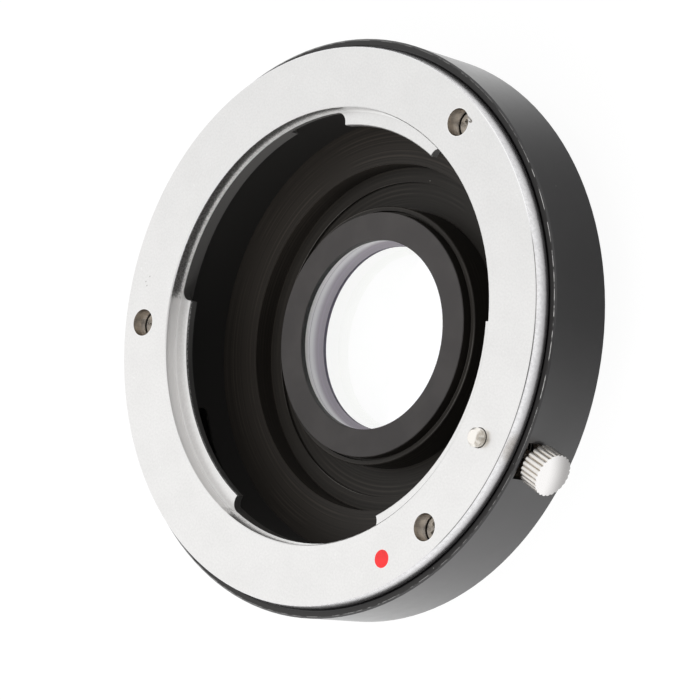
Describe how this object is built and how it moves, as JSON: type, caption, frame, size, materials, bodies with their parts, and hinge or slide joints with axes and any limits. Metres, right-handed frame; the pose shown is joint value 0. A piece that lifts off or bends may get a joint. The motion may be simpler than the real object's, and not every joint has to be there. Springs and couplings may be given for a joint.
{
  "type": "lens mount adapter",
  "caption": "Round lens mount adapter: satin metal bayonet ring on a black body, with a glass cell in the throat, a sprung lock pin and a knurled release knob.",
  "frame": {"origin": "centre of the lens flange face, on the optical axis", "axes": "+Z along the optical axis towards the lens, +X towards the lock pin and release knob"},
  "size_m": [0.0707, 0.0676, 0.0178],
  "materials": {
    "black_body": "satin black anodised",
    "satin_chrome": "satin, bead blasted, with polished side",
    "screw_steel": "plated",
    "pin_steel": "turned",
    "nickel": "bright nickel",
    "spring_steel": "rolled",
    "red_enamel": "enamel fill",
    "chromed_brass": "satin chrome outside, blackened inside",
    "black_cell": "matte black anodised, fine turning lines",
    "optical_glass": "coated, with a ground edge"
  },
  "bodies": {
    "adapter": {"body_ring": "black_body", "lens_mount_ring": "satin_chrome", "mount_screw_1": "screw_steel", "mount_screw_2": "screw_steel", "mount_screw_3": "screw_steel", "index_dot": "red_enamel", "lock_spring": "spring_steel", "leaf_spring_1": "spring_steel", "leaf_spring_2": "spring_steel", "leaf_spring_3": "spring_steel", "leaf_rivet_1": "screw_steel", "leaf_rivet_2": "screw_steel", "leaf_rivet_3": "screw_steel", "rear_bayonet": "chromed_brass", "rear_screw_1": "screw_steel", "rear_screw_2": "screw_steel", "rear_screw_3": "screw_steel", "rear_screw_4": "screw_steel", "cell_holder": "black_cell", "retaining_ring": "black_cell", "lens_element": "optical_glass"},
    "release": {"lock_pin": "pin_steel", "release_knob": "nickel"}
  },
  "joints": [
    {"name": "release_slide", "type": "slide", "parent": "adapter", "child": "release", "axis": [0, 0, -1], "range_m": [0, 0.0015], "stiffness_N_per_m": 400, "springref_m": -0.002, "deforming": ["lock_spring"]}
  ]
}
